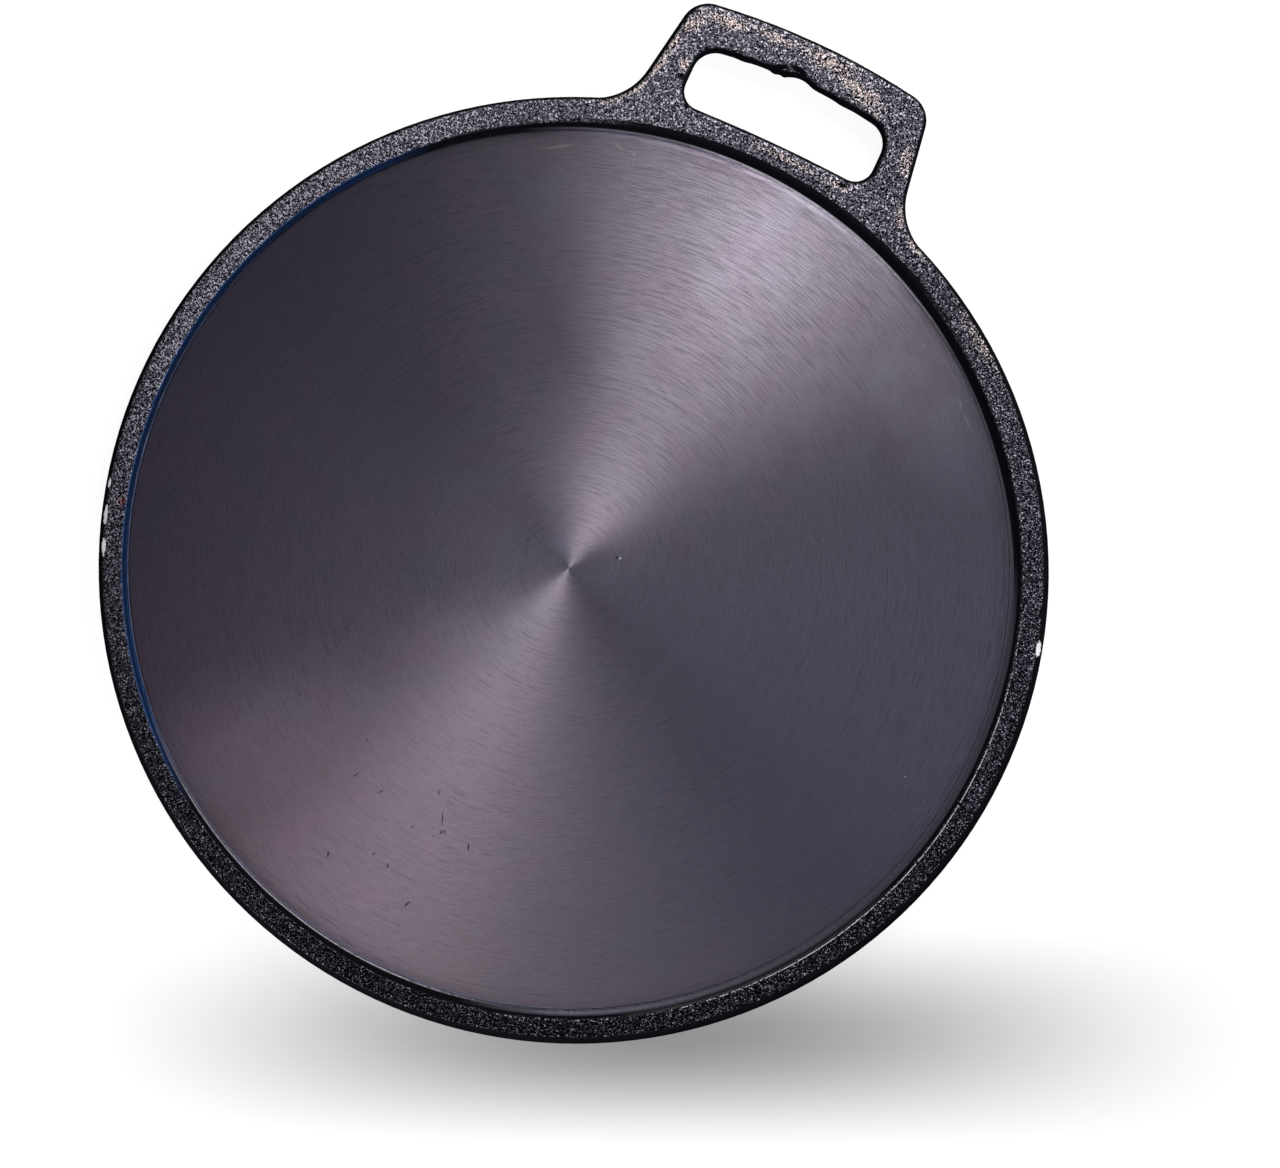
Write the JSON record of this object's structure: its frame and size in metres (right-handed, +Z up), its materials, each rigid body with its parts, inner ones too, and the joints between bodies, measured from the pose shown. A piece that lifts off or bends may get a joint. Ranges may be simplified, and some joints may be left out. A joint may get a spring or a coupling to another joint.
{
  "type": "dosa tawa",
  "caption": "Flat round cast-iron griddle with a low rim, a lathe-turned cooking face and a loop handle with a hanging notch.",
  "frame": {"origin": "centre of the flat underside", "axes": "+Z up out of the cooking face, +Y from the pan's centre towards the loop handle"},
  "size_m": [0.3, 0.3345, 0.009],
  "materials": {
    "seasoned_iron": "seasoned, rough as cast on the rim, handle and underside; fine turned rings on the cooking face"
  },
  "bodies": {
    "root": {"tawa_casting": "seasoned_iron"}
  },
  "joints": []
}
